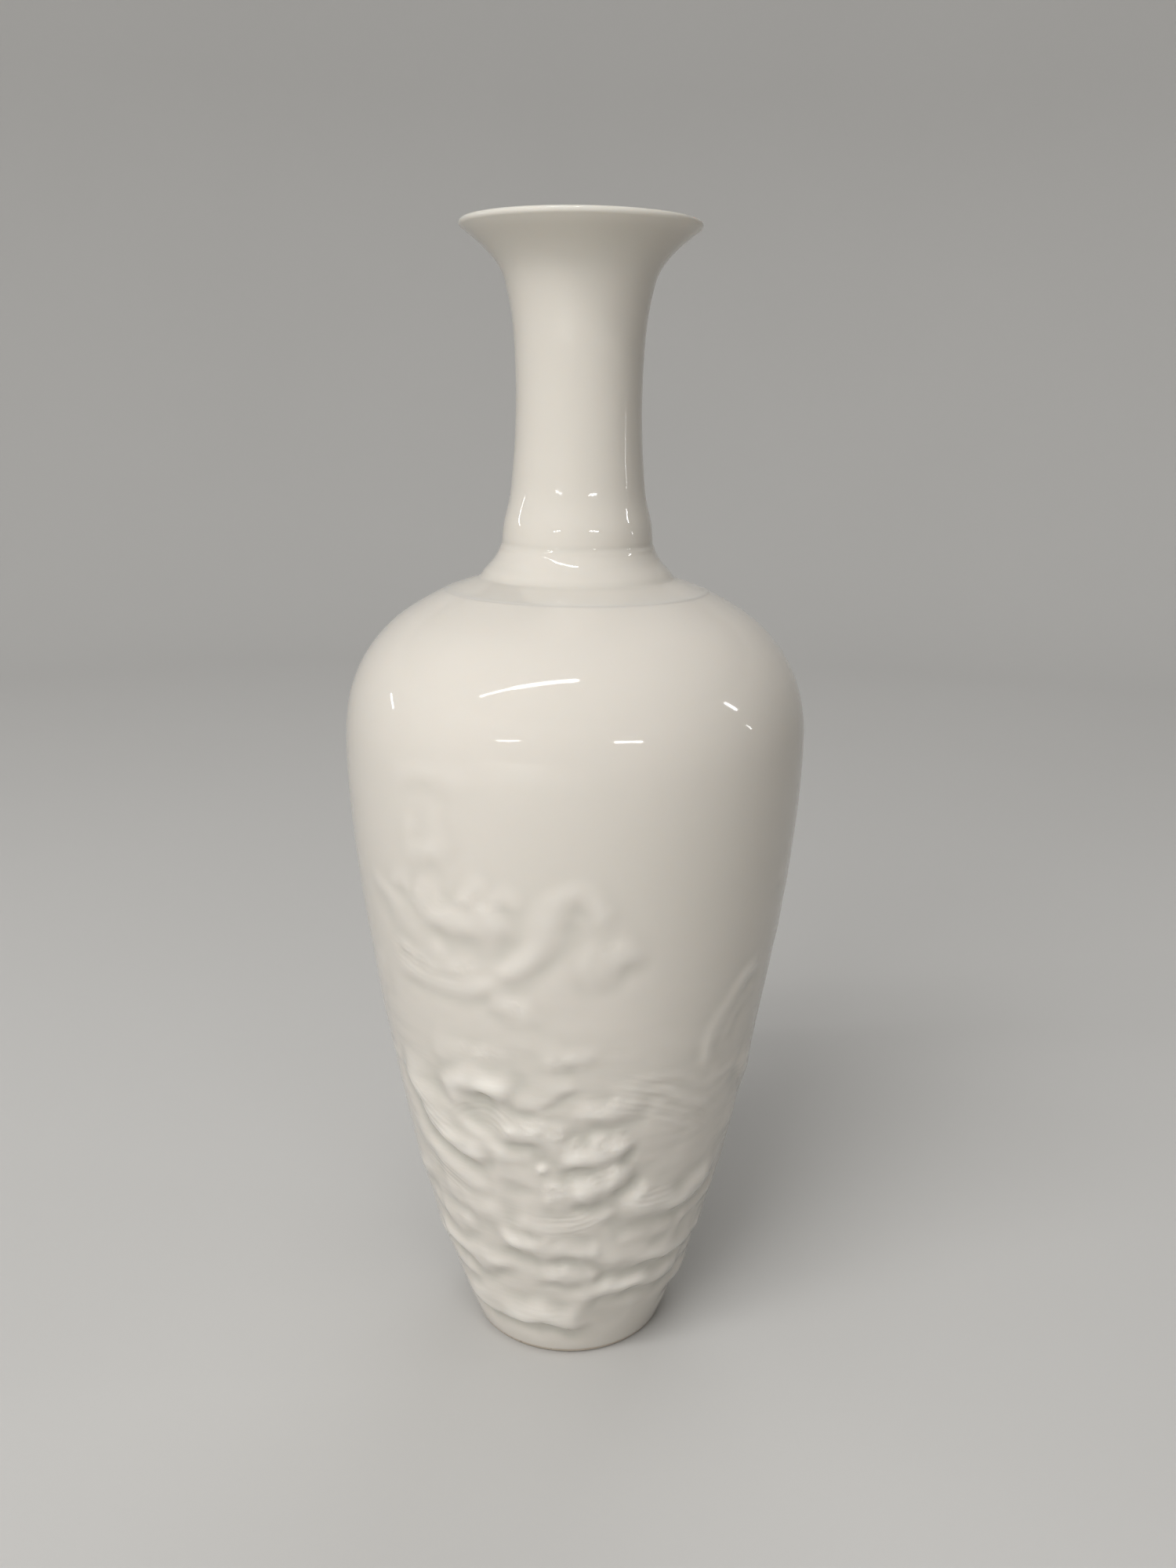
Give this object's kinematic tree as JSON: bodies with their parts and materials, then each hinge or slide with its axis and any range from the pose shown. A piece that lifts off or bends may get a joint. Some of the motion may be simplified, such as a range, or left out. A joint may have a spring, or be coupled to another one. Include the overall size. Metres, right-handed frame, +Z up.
{
  "type": "amphora vase",
  "caption": "Slender porcelain vase with a narrow foot, high shoulder, coved collar, tall waisted neck and flared mouth, with waves and clouds in low relief round the body.",
  "frame": {"origin": "centre of the foot, on the plane that the vase stands on", "axes": "+Z up along the axis of the vase, -Y the front, +X to the right seen from the front"},
  "size_m": [0.1018, 0.1006, 0.25],
  "materials": {
    "porcelain_glaze": "glossy warm white glaze",
    "relief_glaze": "glossy warm white glaze, thin on the crests and pooled in the hollows",
    "foot_biscuit": "matt unglazed porcelain, toasted in the firing"
  },
  "bodies": {
    "root": {"foot_ring": "foot_biscuit", "base_disc": "porcelain_glaze", "lower_body": "porcelain_glaze", "body_seam": "porcelain_glaze", "upper_body": "porcelain_glaze", "shoulder_ring": "porcelain_glaze", "collar": "porcelain_glaze", "neck_seam": "porcelain_glaze", "neck": "porcelain_glaze", "mouth_seam": "porcelain_glaze", "mouth": "porcelain_glaze", "swell_low": "relief_glaze", "swell_middle": "relief_glaze", "swell_high": "relief_glaze", "wave_backs": "relief_glaze", "wave_crests": "relief_glaze", "wave_crescents": "relief_glaze", "spray_lines": "relief_glaze", "foam_pearls": "relief_glaze", "cloud_scrolls": "relief_glaze", "cloud_banks": "relief_glaze", "cloud_bands": "relief_glaze", "cloud_wisps": "relief_glaze"}
  },
  "joints": []
}
